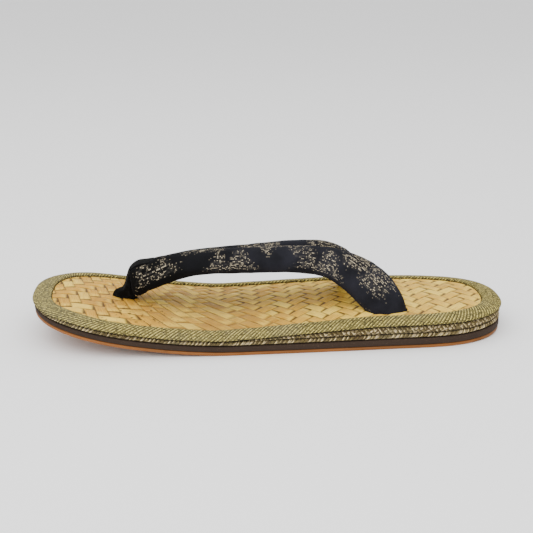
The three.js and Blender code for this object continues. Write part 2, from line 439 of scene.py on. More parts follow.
def outlineAt(s):
    # the near half's outline at a share of its length: along, out, and the way inwards
    at = s * halfRound
    reach = 0.4
    along, out = (np.interp(at, outlineArc, outlinePoints[:, k]) for k in (0, 1))
    back = [np.interp(max(at - reach, 0), outlineArc, outlinePoints[:, k]) for k in (0, 1)]
    fore = [np.interp(min(at + reach, halfRound), outlineArc, outlinePoints[:, k]) for k in (0, 1)]
    if s <= 0 or s >= 1:
        return along, out, (1.0 if s <= 0 else -1.0), 0.0
    run, rise = fore[0] - back[0], fore[1] - back[1]
    size = math.hypot(run, rise)
    return along, out, rise / size, -run / size


def groundHeight(along):
    rise, start, power = sole["toeSpring"]
    lift, heelStart, heelPower = sole["heelLift"]
    return rise * share(1 - along / start) ** power + lift * share(
        (along - heelStart) / (sole["length"] - heelStart)
    ) ** heelPower


def outsoleTop(along):
    return groundHeight(along) + sole["outsole"]


def midsoleTop(along):
    toe, heel = sole["midsole"]
    return outsoleTop(along) + toe + (heel - toe) * along / sole["length"]


def lowerTop(along):
    tip, full, fadeOver = sole["lower"]
    return midsoleTop(along) + tip + (full - tip) * eased(along / fadeOver)


def wedgeTop(along):
    rise, start, end, _ = sole["wedge"]
    part = share((along - start) / (end - start))
    return lowerTop(along) + rise * (0.35 * eased(part) + 0.65 * part)


def matTop(along):
    return wedgeTop(along) + sole["mat"]


def bindingWidth(along):
    toe, side, heel, fadeOver = sole["bindingWide"]
    return side + (toe - side) * share(1 - along / fadeOver) + (heel - side) * share(
        1 - (sole["length"] - along) / fadeOver
    )


def edgePlace(s, inset, height, side=1):
    along, out, inAlong, inOut = outlineAt(s)
    along += inset * inAlong
    return side * max(0, out + inset * inOut), along - sole["length"] / 2, height(along)


def layerPiece(name, profile, stations=190, start=0.0):
    # a solid layer: the profile lists (inset, height) up its near side, then crosses and comes down
    loop = [(inset, height, 1) for inset, height in profile]
    loop += [(inset, height, -1) for inset, height in reversed(profile)]
    count = len(loop)

    def lay(s, t):
        k = round(t * count)
        inset, height, side = loop[k % count]
        place = edgePlace(start + s * (1 - start), inset, height, side)
        climb = place[2] if side > 0 else -place[2]
        return place, ((start + s * (1 - start)) * halfRound * side, climb)

    return wrapSheet(name, stations, count, lay)


def startShare(along):
    # where on the half outline the sole's side reaches this far along
    return float(np.interp(along, outlinePoints[:, 0], outlineArc)) / halfRound


# rubber
rubber = {
    "tan": tint(118, 72, 30),
    "tanLight": tint(134, 82, 36),
    "tanDark": tint(88, 53, 24),
    "brown": tint(50, 37, 28),
    "brownSpeck": tint(78, 62, 48),
    "brownDark": tint(38, 28, 22),
    "outsoleInset": 1.3,
    "outsoleEdge": 0.45,
    "midsoleInset": 1.0,
    "midsoleEdge": 0.4,
}


def tanRubber():
    material, tree, shader = newMaterial("tanCrepeRubber")
    place = objectPlace(tree)
    streaks = speckle(tree, place, 160, 3)
    blots = speckle(tree, place, 25, 2)
    colour = mixColour(tree, fade(tree, blots, 0.35, 0.7), rubber["tan"], rubber["tanLight"])
    colour = mixColour(tree, fade(tree, streaks, 0.55, 0.75, 0, 0.35), colour, rubber["tanDark"])
    tree.links.new(colour, shader.inputs["Base Color"])
    tree.links.new(fade(tree, streaks, 0.3, 0.7, 0.5, 0.65), shader.inputs["Roughness"])
    shader.inputs["Specular IOR Level"].default_value = 0.25
    raiseSurface(tree, shader, speckle(tree, place, 900, 3), 0.00012, 0.5)
    return material


def brownRubber():
    material, tree, shader = newMaterial("brownSpongeRubber")
    place = objectPlace(tree)
    grains = speckle(tree, place, 1400, 2)
    blots = speckle(tree, place, 60, 3)
    specks = fade(tree, grains, 0.6, 0.72, 0, 0.7)
    colour = mixColour(tree, specks, rubber["brown"], rubber["brownSpeck"])
    colour = mixColour(tree, fade(tree, blots, 0.4, 0.7, 0, 0.35), colour, rubber["brownDark"])
    tree.links.new(colour, shader.inputs["Base Color"])
    shader.inputs["Roughness"].default_value = 0.8
    shader.inputs["Specular IOR Level"].default_value = 0.2
    raiseSurface(tree, shader, grains, 0.00015, 0.6)
    return material


def slabProfile(bottom, top, inset, edge):
    gap = sole["gap"]
    return [
        (inset + edge + 1.4, bottom),
        (inset + edge, bottom),
        (inset + edge * 0.3, lambda a: bottom(a) + edge * 0.3),
        (inset, lambda a: bottom(a) + edge),
        (inset, lambda a: top(a) - gap * 2 - edge),
        (inset + edge * 0.3, lambda a: top(a) - gap * 2 - edge * 0.3),
        (inset + edge, lambda a: top(a) - gap * 2),
        (inset + edge + 1.4, lambda a: top(a) - gap * 2),
    ]


outsolePiece = layerPiece(
    "outsoleSheet",
    slabProfile(groundHeight, outsoleTop, rubber["outsoleInset"], rubber["outsoleEdge"]),
)
wear(outsolePiece, tanRubber(), "outsole")
midsolePiece = layerPiece(
    "midsoleSheet",
    slabProfile(
        outsoleTop,
        lambda a: midsoleTop(a) + sole["gap"],
        rubber["midsoleInset"],
        rubber["midsoleEdge"],
    ),
)
wear(midsolePiece, brownRubber(), "midsole")
print("rubber layers done")


# herringbone cloth: the lower layer, the heel wedge and the edge binding
tweed = {
    "yarn": 0.95,
    "cream": tint(236, 218, 120),
    "straw": tint(134, 122, 66),
    "olive": tint(98, 92, 50),
    "earth": tint(70, 62, 36),
    "line": tint(36, 28, 18),
    "greyed": tint(118, 112, 86),
    "brown": tint(84, 66, 48),
    "beige": tint(236, 212, 168),
    "finish": (0.9, 0.1, 0.02, 0.5),  # roughness, gloss, sheen, its roughness
}


def tweedCloth(name, rib, slant, creamShare, brownShare):
    # rib is the step from one dark line to the next in mm
    material, tree, shader = newMaterial(name)
    x, y, _ = clothMap(tree, "cloth")
    place = objectPlace(tree)
    wobble = times(tree, calc(tree, "SUBTRACT", speckle(tree, place, 150, 2), 0.5), 0.9)
    lean = plus(tree, calc(tree, "MULTIPLY_ADD", y, slant, x), wobble)
    ribs = calc(tree, "DIVIDE", lean, rib)
    ribNumber, ribPart = calc(tree, "FLOOR", ribs), calc(tree, "FRACT", ribs)
    cross = plus(tree, calc(tree, "MULTIPLY_ADD", x, -0.6, y), wobble)
    yarns = calc(tree, "DIVIDE", cross, tweed["yarn"])
    yarnNumber, yarnPart = calc(tree, "FLOOR", yarns), calc(tree, "FRACT", yarns)
    yarnSide = offMiddle(tree, yarnPart)
    pick = chance(tree, ribNumber, yarnNumber)
    earthy = [(0.0, tweed["earth"]), (0.25, tweed["olive"]), (0.6, tweed["straw"]), (1.0, tweed["straw"])]
    ground = colourSteps(tree, pick, earthy)
    blots = speckle(tree, place, 45, 3)
    ground = mixColour(tree, brownShare, ground, tweed["brown"])
    _, py, _ = splitVector(tree, place)
    toeGrey = fade(tree, plus(tree, py, 0.135), 0.015, 0.06, 0.45, 0.0)
    greyShare = calc(tree, "MAXIMUM", fade(tree, blots, 0.45, 0.75, 0, 0.5), toeGrey)
    ground = mixColour(tree, greyShare, ground, tweed["greyed"])
    # a pale yarn lies beside each dark line, broken where the cross yarns cover it
    paleRun = times(tree, fade(tree, ribPart, 0.2, 0.3), fade(tree, ribPart, 0.42, 0.56, 1, 0))
    broken = 0.2 + 0.25 * brownShare
    palePick = fade(tree, chance(tree, yarnNumber, plus(tree, ribNumber, 90.0)), broken, broken + 0.5)
    stray = fade(tree, chance(tree, plus(tree, yarnNumber, 30.0), ribNumber), 0.7, 0.95, 0.0, 0.7)
    ground = mixColour(tree, times(tree, stray, brownShare), ground, tweed["beige"])
    pale = times(tree, paleRun, palePick, creamShare)
    paleYarn = mixColour(tree, brownShare, tweed["cream"], tweed["beige"])
    colour = mixColour(tree, pale, ground, paleYarn)
    gaps = fade(tree, yarnSide, 0.28, 0.5, 0.0, 0.5)
    colour = mixColour(tree, gaps, colour, tweed["earth"])
    ribSide = offMiddle(tree, ribPart)
    lineFades = fade(tree, speckle(tree, place, 240, 1), 0.3, 0.6, 0.4, 1.0)
    lineShare = times(tree, fade(tree, ribSide, 0.34, 0.46), lineFades, 0.95 - 0.25 * brownShare)
    colour = mixColour(tree, lineShare, colour, tweed["line"])
    grooveShade = tree.nodes.new("ShaderNodeAttribute")
    grooveShade.attribute_name = "grooveShade"
    # painted shade: the cloth is darkened deep in the grooves between the layers and at the binding's
    # tucked edges
    colour = mixColour(tree, times(tree, grooveShade.outputs["Fac"], 0.85), colour, tweed["line"])
    fluff = speckle(tree, place, 1500, 2)
    inTheOpen = fade(tree, grooveShade.outputs["Fac"], 0.2, 0.8, 1.0, 0.0)
    fluffShare = times(tree, fade(tree, fluff, 0.55, 0.75, 0, 0.3), inTheOpen)
    colour = mixColour(tree, fluffShare, colour, tweed["cream"])
    clothFinish(tree, shader, colour, tweed["finish"])
    ribHeight = fade(tree, ribSide, 0.2, 0.5, 1.0, 0.0)
    yarnHeight = fade(tree, yarnSide, 0.1, 0.5, 0.35, 0.0)
    height = plus(tree, ribHeight, yarnHeight, times(tree, fluff, 0.3))
    raiseSurface(tree, shader, height, 0.0004, 0.9)
    return material


def wrappedProfile(bottom, top):
    gap, inset, tuck = sole["gap"], sole["bandInset"], sole["bandTuck"]
    profile = [(inset + tuck + 2.0, lambda a: bottom(a) + gap)]
    for turn in (0.0, 0.12, 0.3, 0.5, 0.7, 0.88, 1.0):
        bulge = math.sin(math.pi * turn) ** 1.2
        profile.append(
            (
                inset + tuck * (1 - bulge),
                lambda a, turn=turn: bottom(a) + gap + turn * (top(a) - bottom(a) - 2 * gap),
            )
        )
    return profile + [(inset + tuck + 2.0, lambda a: top(a) - gap)]


def shadeGrooves(piece, depthAt):
    # how deep in a groove each corner of the cloth lies, 0 to 1, which sets the painted shade there
    def shade(bm):
        grooveShade = bm.verts.layers.float.new("grooveShade")
        cloth = bm.loops.layers.uv["cloth"]
        for vert in bm.verts:
            vert[grooveShade] = share(depthAt(vert.co / mm, vert.link_loops[0][cloth].uv))

    reshape(piece, shade)


def bandGroove(bottom, top):
    def depthAt(place, _):
        along = place.y + sole["length"] / 2
        turn = (place.z - bottom(along)) / (top(along) - bottom(along))
        return (abs(2 * turn - 1) - 0.62) / 0.34

    return depthAt


lowerTweed = tweedCloth("lowerTweed", rib=2.3, slant=-0.9, creamShare=1.0, brownShare=0.75)
wedgeTweed = tweedCloth("wedgeTweed", rib=2.6, slant=0.8, creamShare=0.85, brownShare=0.75)
lowerPiece = layerPiece("lowerBand", wrappedProfile(midsoleTop, lowerTop))
shadeGrooves(lowerPiece, bandGroove(midsoleTop, lowerTop))
wear(lowerPiece, lowerTweed, "lower_layer")
wedgePiece = layerPiece(
    "heelBand", wrappedProfile(lowerTop, wedgeTop), 120, startShare(sole["wedge"][3])
)
mend(wedgePiece)
shadeGrooves(wedgePiece, bandGroove(lowerTop, wedgeTop))
wear(wedgePiece, wedgeTweed, "heel_wedge")

# edge binding
binding = {
    # inset as a share of the width, height as a share of the rise
    "section": [
        (1.0, 0.0), (1.0, 0.5), (1.0, 0.82), (0.97, 0.95), (0.9, 1.0), (0.78, 0.99), (0.62, 0.92),
        (0.46, 0.82), (0.3, 0.7), (0.17, 0.58), (0.07, 0.44), (0.01, 0.32), (0.0, 0.22), (0.05, 0.1),
        (0.15, 0.03), (0.5, 0.0),
    ],
    # how far round the cloth each corner of the section lies, in mm
    "across": [0, 1.6, 2.5, 3.0, 3.7, 4.9, 6.5, 8.2, 9.9, 11.3, 12.5, 13.5, 14.2, 14.9, 15.6, 19.5, 24.5],
    "stations": 520,
    "waver": 0.22,
    "grooves": (2.9, 14.0, 0.8),  # mm across the cloth for the painted groove shade: inner one ends, outer one starts, fade
}


def layBinding(s, t):
    section = binding["section"]
    side = 1 if s <= 0.5 else -1
    part = 2 * s if side > 0 else 2 - 2 * s
    k = round(t * len(section)) % len(section)
    inset, height = section[k]
    along, out, _, _ = outlineAt(part)
    wide, rise = bindingWidth(along), sole["mat"] + sole["bindingProud"] - sole["gap"]
    hand = noise.noise(Vector((side * out, along, 5)) * 0.11) * binding["waver"]
    lift = hand if 1 < k < 13 else 0

    def top(a):
        return wedgeTop(a) + sole["gap"] + height * rise + lift * height

    place = edgePlace(part, inset * wide, top, side)
    return place, (s * 2 * halfRound, binding["across"][round(t * len(section))])


bindingPiece = wrapSheet("bindingRoll", binding["stations"], len(binding["section"]), layBinding)


def bindingGroove(_, spot):
    inner, outer, fadeOver = binding["grooves"]
    return max((inner - spot.y) / fadeOver, (spot.y - outer) / fadeOver)


shadeGrooves(bindingPiece, bindingGroove)
roundOff(bindingPiece)
bindingTweed = tweedCloth("bindingTweed", rib=2.25, slant=0.85, creamShare=0.85, brownShare=0.08)
wear(bindingPiece, bindingTweed, "edge_binding")
print("cloth layers and binding done")


# plaited mat
plait = {
    "stripToe": 6.3,  # from one strip to the next along the sole
    "stripHeel": 9.0,
    "widen": (60, 70),  # from, over
    "turn": (40, 110),  # the second strips turn from straight along to diagonal: from, over
    "firstNumber": 40,  # keeps the strip numbers above zero
    "rows": 430,
    "columns": 132,
    "relief": 0.5,
    "sink": 0.25,
    "edgeSink": 0.3,
    "edgeFade": 1.2,
    "fanFrom": 35,
    "fanTo": 120,
    "fanStart": 0.25,
    "longFloats": (8, 17),  # strips with longer floats
    "gold": tint(200, 150, 46),
    "pale": tint(238, 202, 84),
    "honey": tint(150, 103, 34),
    "grey": tint(134, 116, 72),
    "rust": tint(132, 84, 38),
    "seamAndShade": tint(66, 44, 20),
}


def fanning(along):
    # how far the first strips slant: nearly straight across at the toe, diagonal from the arch on
    turn = eased((along - plait["fanFrom"]) / (plait["fanTo"] - plait["fanFrom"]))
    return plait["fanStart"] + (1 - plait["fanStart"]) * turn


def stripWidth(along):
    start, over = plait["widen"]
    return plait["stripToe"] + (plait["stripHeel"] - plait["stripToe"]) * eased((along - start) / over)


def slantAt(along):
    start, over = plait["turn"]
    return math.tan(math.pi / 4 * eased((along - start) / over))


wholeLength = range(0, 280)
stripCount = np.cumsum([1 / stripWidth(a) for a in wholeLength])
secondStart = np.cumsum([slantAt(a) / stripWidth(a) for a in wholeLength])


def plaitPlace(along, out):
    first, second = (float(np.interp(along, wholeLength, table)) for table in (stripCount, secondStart))
    wide, number = stripWidth(along), plait["firstNumber"]
    return first - fanning(along) * out / wide + number, second + out / wide + number


def plaitHeight(first, second):
    i, j = math.floor(first), math.floor(second)
    low, high = (end + plait["firstNumber"] for end in plait["longFloats"])
    floats = 3 if low <= i < high else 2
    turn = (i + second) % 4
    if turn < floats:
        part, side = turn / floats, abs(first - i - 0.5) * 2
    else:
        part, side = ((first + j) % 4 - floats) / (4 - floats), abs(second - j - 0.5) * 2
    part = share(part)
    arch = math.sin(math.pi * part) ** 0.6
    return arch * (1 - side**8 * 0.8) - 0.5


def layMat(s, t):
    columns = plait["columns"]
    k = round(t * (columns + 6))
    gap = sole["gap"]
    along0, _, _, _ = outlineAt(s)
    inset = bindingWidth(along0) + 2 * gap
    x, y, bottom = edgePlace(s, inset, lambda a: wedgeTop(a) + gap)
    along = y + sole["length"] / 2
    if k <= columns:  # over the top, side to side
        part = 1 - 2 * k / columns
        out = x * part
        swell = sole["crown"][0] * (1 - part * part) * (x / sole["crown"][1]) ** 2
        first, second = plaitPlace(along, out)
        edge = share((1 - abs(part)) * x / plait["edgeFade"])
        plaited = plaitHeight(first, second) * plait["relief"] - plait["sink"]
        lift = plaited * edge - plait["edgeSink"] * (1 - edge)
        return (out, y, matTop(along) + swell + lift), (first, second)
    turn = k - columns
    # down one side, under and up the other
    middle = bottom + sole["mat"] * 0.5
    out = [-x, -x, -x * 0.4, x * 0.4, x, x][turn - 1]
    height = [middle, bottom, bottom, bottom, bottom, middle][turn - 1]
    return (out, y, height), plaitPlace(along, out)


def layMatClosed(s, t):
    # the last column meets the first
    return layMat(s, 0 if t > 1 - 1e-6 else t)


def plaitedStraw():
    material, tree, shader = newMaterial("plaitedStraw")
    first, second, _ = clothMap(tree, "plait")
    i, j = calc(tree, "FLOOR", first), calc(tree, "FLOOR", second)
    low, high = (end + plait["firstNumber"] - 0.5 for end in plait["longFloats"])
    longOnes = times(tree, calc(tree, "GREATER_THAN", i, low), calc(tree, "LESS_THAN", i, high))
    floats = plus(tree, longOnes, 2.0)
    turnA = calc(tree, "FLOORED_MODULO", plus(tree, i, second), 4.0)
    turnB = calc(tree, "FLOORED_MODULO", plus(tree, first, j), 4.0)
    turnB = calc(tree, "SUBTRACT", turnB, floats)
    firstOnTop = calc(tree, "LESS_THAN", turnA, floats)
    partA = calc(tree, "DIVIDE", turnA, floats)
    partB = calc(tree, "DIVIDE", turnB, calc(tree, "SUBTRACT", 4.0, floats))
    sideA = offMiddle(tree, calc(tree, "FRACT", first))
    sideB = offMiddle(tree, calc(tree, "FRACT", second))
    secondOnTop = calc(tree, "SUBTRACT", 1.0, firstOnTop)

    def either(a, b):
        return plus(tree, times(tree, firstOnTop, a), times(tree, secondOnTop, b))

    part, side = either(partA, partB), either(sideA, sideB)
    sideWay = either(calc(tree, "FRACT", first), calc(tree, "FRACT", second))
    number = either(i, plus(tree, j, 500.0))
    floatNumber = either(
        calc(tree, "FLOOR", calc(tree, "DIVIDE", plus(tree, i, second), 4.0)),
        calc(tree, "FLOOR", calc(tree, "DIVIDE", plus(tree, first, j), 4.0)),
    )
    wide, long = either(first, second), either(second, first)
    floatTone = times(tree, chance(tree, number, floatNumber), 0.45)
    tone = calc(tree, "MULTIPLY_ADD", chance(tree, number, 1.0), 0.55, floatTone)
    straws = [(0.0, "honey"), (0.34, "gold"), (0.58, "gold"), (0.8, "pale"), (1.0, "pale")]
    colour = colourSteps(tree, tone, [(at, plait[straw]) for at, straw in straws])
    place = objectPlace(tree)
    px, py, _ = splitVector(tree, place)
    along = plus(tree, py, 0.135)
    # greyer straw behind the toe post
    greyish = times(tree, fade(tree, along, 0.06, 0.085), fade(tree, along, 0.11, 0.15, 1.0, 0.25))
    colour = mixColour(tree, times(tree, greyish, 0.3), colour, plait["grey"])
    # painted light: the rear of the mat is mixed paler, as if less shaded there
    heelPaintedLight = fade(tree, along, 0.13, 0.18, 0.0, 0.35)
    colour = mixColour(tree, heelPaintedLight, colour, plait["pale"])
    # the ends of the floats catch the light
    tip = times(tree, fade(tree, part, 0.55, 0.82), fade(tree, part, 0.88, 0.97, 1.0, 0.0))
    colour = mixColour(tree, times(tree, tip, 0.55), colour, plait["pale"])
    strand = joinVector(tree, times(tree, wide, 18.0), times(tree, long, 0.9), number)
    fibres = speckle(tree, strand, 1.0, 3)
    colour = mixColour(tree, fade(tree, fibres, 0.45, 0.75, 0, 0.7), colour, plait["honey"])
    colour = mixColour(tree, fade(tree, fibres, 0.5, 0.25, 0, 0.4), colour, plait["pale"])
    stains = speckle(tree, place, 38, 3)
    colour = mixColour(tree, fade(tree, stains, 0.55, 0.75, 0, 0.45), colour, plait["rust"])
    # among the long floats the short ones hardly show
    quiet = calc(tree, "MULTIPLY_ADD", longOnes, -0.55, 1.0)
    # the end of a float dips under the next strip, more on one side, with a painted shadow wedge there
    wedgeAt = calc(tree, "MULTIPLY_ADD", sideWay, 0.1, part)
    endShade = times(tree, fade(tree, wedgeAt, 0.9, 1.02, 0.0, 0.9), quiet)
    startShade = times(tree, fade(tree, part, 0.0, 0.07, 0.5, 0.0), quiet)
    uneven = speckle(tree, place, 120, 2)
    sideLine = times(tree, fade(tree, side, 0.43, 0.49), fade(tree, uneven, 0.36, 0.6, 0.3, 0.95))
    sideLine = times(tree, sideLine, either(1.0, quiet))
    dark = calc(tree, "MAXIMUM", calc(tree, "MAXIMUM", endShade, startShade), sideLine)
    # one dark colour serves the seams between strips and the painted shade at the float ends
    colour = mixColour(tree, dark, colour, plait["seamAndShade"])
    specks = speckle(tree, place, 420, 1)
    byPost = times(tree, fade(tree, along, 0.03, 0.05), fade(tree, along, 0.075, 0.095, 1.0, 0.0))
    nearPost = times(tree, byPost, fade(tree, px, -0.01, 0.01))
    dots = times(tree, fade(tree, specks, 0.64, 0.7, 0, 0.85), nearPost)
    colour = mixColour(tree, dots, colour, plait["seamAndShade"])
    tree.links.new(colour, shader.inputs["Base Color"])
    tree.links.new(fade(tree, fibres, 0.3, 0.7, 0.48, 0.66), shader.inputs["Roughness"])
    shader.inputs["Specular IOR Level"].default_value = 0.22
    arch = fade(tree, offMiddle(tree, part), 0.3, 0.5, 1.0, 0.0)
    crown = fade(tree, side, 0.36, 0.5, 1.0, 0.0)
    height = plus(tree, times(tree, arch, crown), times(tree, fibres, 0.25))
    raiseSurface(tree, shader, height, 0.0005, 0.9)
    return material


matPiece = wrapSheet("plaitedMat", plait["rows"], plait["columns"] + 6, layMatClosed, "plait")
print("mat plaited")


# strap
strap = {
    # along, out, up, wide, thick, lean, far arm's along and up
    "rows": [
        (55.2, 3.2, 29.1, 17.0, 6.0, 8, 0, -0.6),
        (58.0, 4.2, 29.8, 17.6, 8.2, 14, 0, -0.8),
        (62.4, 4.9, 32.2, 17.2, 9.0, 25, 0, -0.9),
        (68.0, 5.4, 34.2, 17.2, 9.4, 36, 0, -1.0),
        (76.0, 6.0, 37.0, 16.6, 9.5, 46, 0, -1.3),
        (85.0, 6.6, 39.5, 16.2, 9.5, 53, 0, -1.7),
        (96.0, 7.1, 41.2, 16.6, 9.6, 57, 0, -1.8),
        (124.0, 7.4, 42.2, 17.5, 9.6, 57, 0, -0.8),
        (150.0, 8.0, 42.5, 18.0, 9.6, 56, -1, 0.8),
        (168.0, 9.6, 40.6, 19.4, 9.4, 48, -3, 1.2),
        (178.0, 12.0, 37.0, 21.4, 9.2, 36, -4.4, 0.2),
        (186.5, 15.4, 32.2, 23.4, 9.0, 26, -6.5, -2.0),
        (193.0, 19.4, 26.9, 24.0, 9.0, 20, -6.5, -2.0),
        (198.3, 23.4, 21.0, 22.4, 8.8, 17, -5, 0.0),
        (201.4, 26.2, 14.4, 20.4, 8.4, 14, -4, 0.0),
        (203.0, 28.2, 7.5, 19.4, 8.2, 12, -3, 0.0),
    ],
    "squareness": 2.3,
    "steps": 120,
    "sides": 44,
    "rearCut": 13.3,
    "pressure": 4.0,
    "frames": 20,
    "quality": 6,
    "weight": 0.2,
    "stretchStiffness": 12,
    "squeezeStiffness": 4,
    "bendStiffness": 0.3,
    "most": 0.9,  # mm that the stuffing may swell it
    "heldNose": 4.0,  # mm of each arm's front end that is held
    "heldRear": 17,  # mm, the height below which the rear end is held
    "holeRoom": 0.5,  # mm round each arm where it goes through the mat
    "apart": 0.08,  # mm from the middle of the shoe to each arm
    # patches: along from and to, up the face from and to, density, 1 or -1 for a peak up or down
    "nearPatches": [
        (59, 71, 0.36, 0.94, 0.65, 1),
        (68, 83, 0.24, 0.8, 0.65, 1),
        (58, 84, 0.27, 0.46, 0.45, 0),
        (74, 96, 0.8, 1.0, 0.6, 0),
        (86, 110, 0.62, 1.02, 0.85, 0),
        (98, 113, 0.08, 0.6, 0.75, 1),
        (108, 128, 0.08, 0.66, 0.75, 1),
        (97, 129, 0.06, 0.24, 0.5, 0),
        (120, 158, 0.72, 1.04, 0.9, 0),
        (126, 141, 0.42, 1.0, 0.85, -1),
        (142, 158, 0.42, 1.0, 0.85, -1),
        (148, 165, 0.12, 0.7, 0.75, 1),
        (158, 178, 0.12, 0.68, 0.75, 1),
        (148, 180, 0.1, 0.3, 0.5, 0),
        (168, 199, 0.92, 1.1, 0.3, 0),
        (174, 186, 0.5, 0.98, 0.75, 0),
        (186, 197, 0.42, 0.86, 0.8, 0),
        (190, 200, 0.02, 0.16, 0.3, 0),
        (70, 95, 1.3, 1.8, 0.6, 1),
        (110, 135, 1.35, 1.9, 0.7, 1),
        (150, 175, 1.3, 1.75, 0.6, 1),
        (180, 198, 1.4, 1.8, 0.6, 0),
    ],
    "farPatches": [
        (60, 82, 0.4, 1.0, 0.7, 1),
        (94, 114, 0.2, 0.85, 0.7, 1),
        (117, 142, 0.75, 1.4, 0.75, 0),
        (132, 152, 0.15, 0.7, 0.7, 1),
        (156, 181, 0.75, 1.45, 0.75, 0),
        (172, 194, 0.3, 0.8, 0.7, 0),
        (183, 197, 1.3, 1.8, 0.6, 0),
        (66, 90, 1.2, 1.8, 0.7, 1),
        (98, 112, 1.3, 1.8, 0.6, -1),
    ],
    "patchTaper": 0.85,
    "patchFade": (5, 0.12),  # mm along, share of the way up
    # tucks: along, up the face, length, depth; the cloth gathers at the nose and the bends
    "tucks": [
        (59, 0.75, 7, 0.5), (62, 0.35, 8, 0.45), (66, 0.6, 9, 0.3), (72, 0.2, 9, 0.3),
        (166, 0.12, 10, 0.45), (172, 0.22, 9, 0.5), (178, 0.1, 8, 0.45), (184, 0.3, 9, 0.3),
        (195, 0.7, 7, 0.35), (198, 0.4, 6, 0.35),
    ],
    "tuckWide": 1.1,
    "lumps": [(0.16, 0.25), (0.5, 0.08)],  # fineness, height
    "stitch": 0.68,
    "navy": tint(34, 34, 40),
    "shade": tint(9, 9, 9),
    "cream": tint(204, 190, 160),
    "dim": tint(84, 80, 74),
    "sheen": tint(190, 196, 224),
    "finish": (0.85, 0.07, 0.03, 0.4),
}


def armRows(far):
    rows = []
    for along, out, up, wide, thick, lean, farAlong, farUp in strap["rows"]:
        if far:
            along, up = along + farAlong, up + farUp
        rows.append([0.0, out, along - sole["length"] / 2, up, wide, thick, lean])
    for before, row in zip(rows, rows[1:]):
        step = Vector(row[1:4]) - Vector(before[1:4])
        row[0] = before[0] + step.length
    return rows


def tubeFrame(rows, at, column):
    return Vector([curveThrough(rows, at, k) for k in column])


def armFrame(rows, at):
    centre = tubeFrame(rows, at, (1, 2, 3))
    ahead = tubeFrame(rows, min(at + 0.5, rows[-1][0]), (1, 2, 3))
    behind = tubeFrame(rows, max(at - 0.5, 0), (1, 2, 3))
    tangent = (ahead - behind).normalized()
    upright = Vector((1, 0, 0)).cross(tangent).normalized()
    if upright.z < 0:
        upright.negate()
    inward = tangent.cross(upright).normalized()
    if inward.x > 0:
        inward.negate()
    lean = math.radians(curveThrough(rows, at, 6))
    wideWay = upright * math.cos(lean) + inward * math.sin(lean)
    outWay = wideWay.cross(tangent).normalized()
    if outWay.x < 0:
        outWay.negate()
    return centre, wideWay, outWay, curveThrough(rows, at, 4), curveThrough(rows, at, 5)


def rounded(value):
    return math.copysign(abs(value) ** (2 / strap["squareness"]), value)


def halfGirth(wide, thick):
    # half the way round a flattened tube, roughly
    return wide + 0.4 * thick


def armLay(rows, side, grow=0.0):
    frames = {}
    total = rows[-1][0]

    def lay(s, t):
        at = s * total
        key = round(s * strap["steps"])
        if key not in frames:
            frames[key] = armFrame(rows, at)
        centre, wideWay, outWay, wide, thick = frames[key]
        angle = 2 * math.pi * (0 if t > 1 - 1e-6 else t)
        shut = 0 if key in (0, strap["steps"]) else 1
        place = centre - wideWay * (wide / 2 + grow) * rounded(math.cos(angle)) * shut
        place += outWay * (thick / 2 + grow) * rounded(math.sin(angle)) * shut
        place.x = max(place.x, strap["apart"] - grow) * side
        return place, (at, 2 * t * halfGirth(wide, thick))

    return lay


def puffUp(piece, held):
    # the stuffing pushes the cloth out a little, and the cloth finds its own way round the bends
    start = [vert.co.copy() for vert in piece.data.vertices]
    group = piece.vertex_groups.new(name="held")
    group.add(held, 1.0, "REPLACE")
    cloth = piece.modifiers.new("stuffing", "CLOTH")
    cloth.settings.quality = strap["quality"]
    cloth.settings.mass = strap["weight"]
    cloth.settings.tension_stiffness = strap["stretchStiffness"]
    cloth.settings.compression_stiffness = strap["squeezeStiffness"]
    cloth.settings.shear_stiffness = strap["squeezeStiffness"]
    cloth.settings.bending_stiffness = strap["bendStiffness"]
    cloth.settings.use_pressure = True
    cloth.settings.uniform_pressure_force = strap["pressure"]
    cloth.settings.effector_weights.gravity = 0
    cloth.settings.vertex_group_mass = "held"
    cloth.collision_settings.use_collision = False
    for number in range(1, strap["frames"] + 1):
        scene.frame_set(number)
    applyAll(piece)
    scene.frame_set(1)
    moves = []
    limit = strap["most"] * mm
    for vert, before in zip(piece.data.vertices, start):
        move = vert.co - before
        moves.append(move.length / mm)
        if move.length > limit:
            move *= limit / move.length
        vert.co = before + move
    average = sum(moves) / len(moves)
    print("stuffing moved the cloth by up to %.2f mm, %.2f mm on average" % (max(moves), average))
    piece.vertex_groups.clear()


def patchShare(patches, along, height):
    height = height % 2
    fadeAlong, fadeUp = strap["patchFade"]
    best = 0.0
    for start, end, low, high, density, peak in patches:
        for turn in (height, height - 2):
            up = share((turn - low) / (high - low))
            narrow = up if peak > 0 else 1 - up
            reach = (end - start) / 2 * (1 - strap["patchTaper"] * narrow * abs(peak))
            sideways = (reach - abs(along - (start + end) / 2)) / fadeAlong + 0.5
            upwards = min(turn - low, high - turn) / fadeUp + 0.5
            best = max(best, density * eased(sideways) * eased(upwards))
    return best


def makeArm(name, side, far):
    rows = armRows(far)
    arm = wrapSheet(name, strap["steps"], strap["sides"], armLay(rows, side))
    front = tubeFrame(rows, strap["heldNose"], (1, 2, 3)).y
    held = [
        vert.index
        for vert in arm.data.vertices
        if vert.co.y / mm < front or vert.co.z / mm < strap["heldRear"]
    ]
    puffUp(arm, held)
    for vert in arm.data.vertices:
        if vert.co.x * side < strap["apart"] * mm:
            vert.co.x = strap["apart"] * mm * side
    return arm


nearArm = makeArm("nearArm", 1, False)
farArm = makeArm("farArm", -1, True)


def onStrap(rows, spot):
    # a place on the cloth as the distance along the sole and the share of the way up the face
    along = curveThrough(rows, spot[0], 2) + sole["length"] / 2
    wide, thick = (curveThrough(rows, spot[0], k) for k in (4, 5))
    return along, spot[1] / halfGirth(wide, thick)


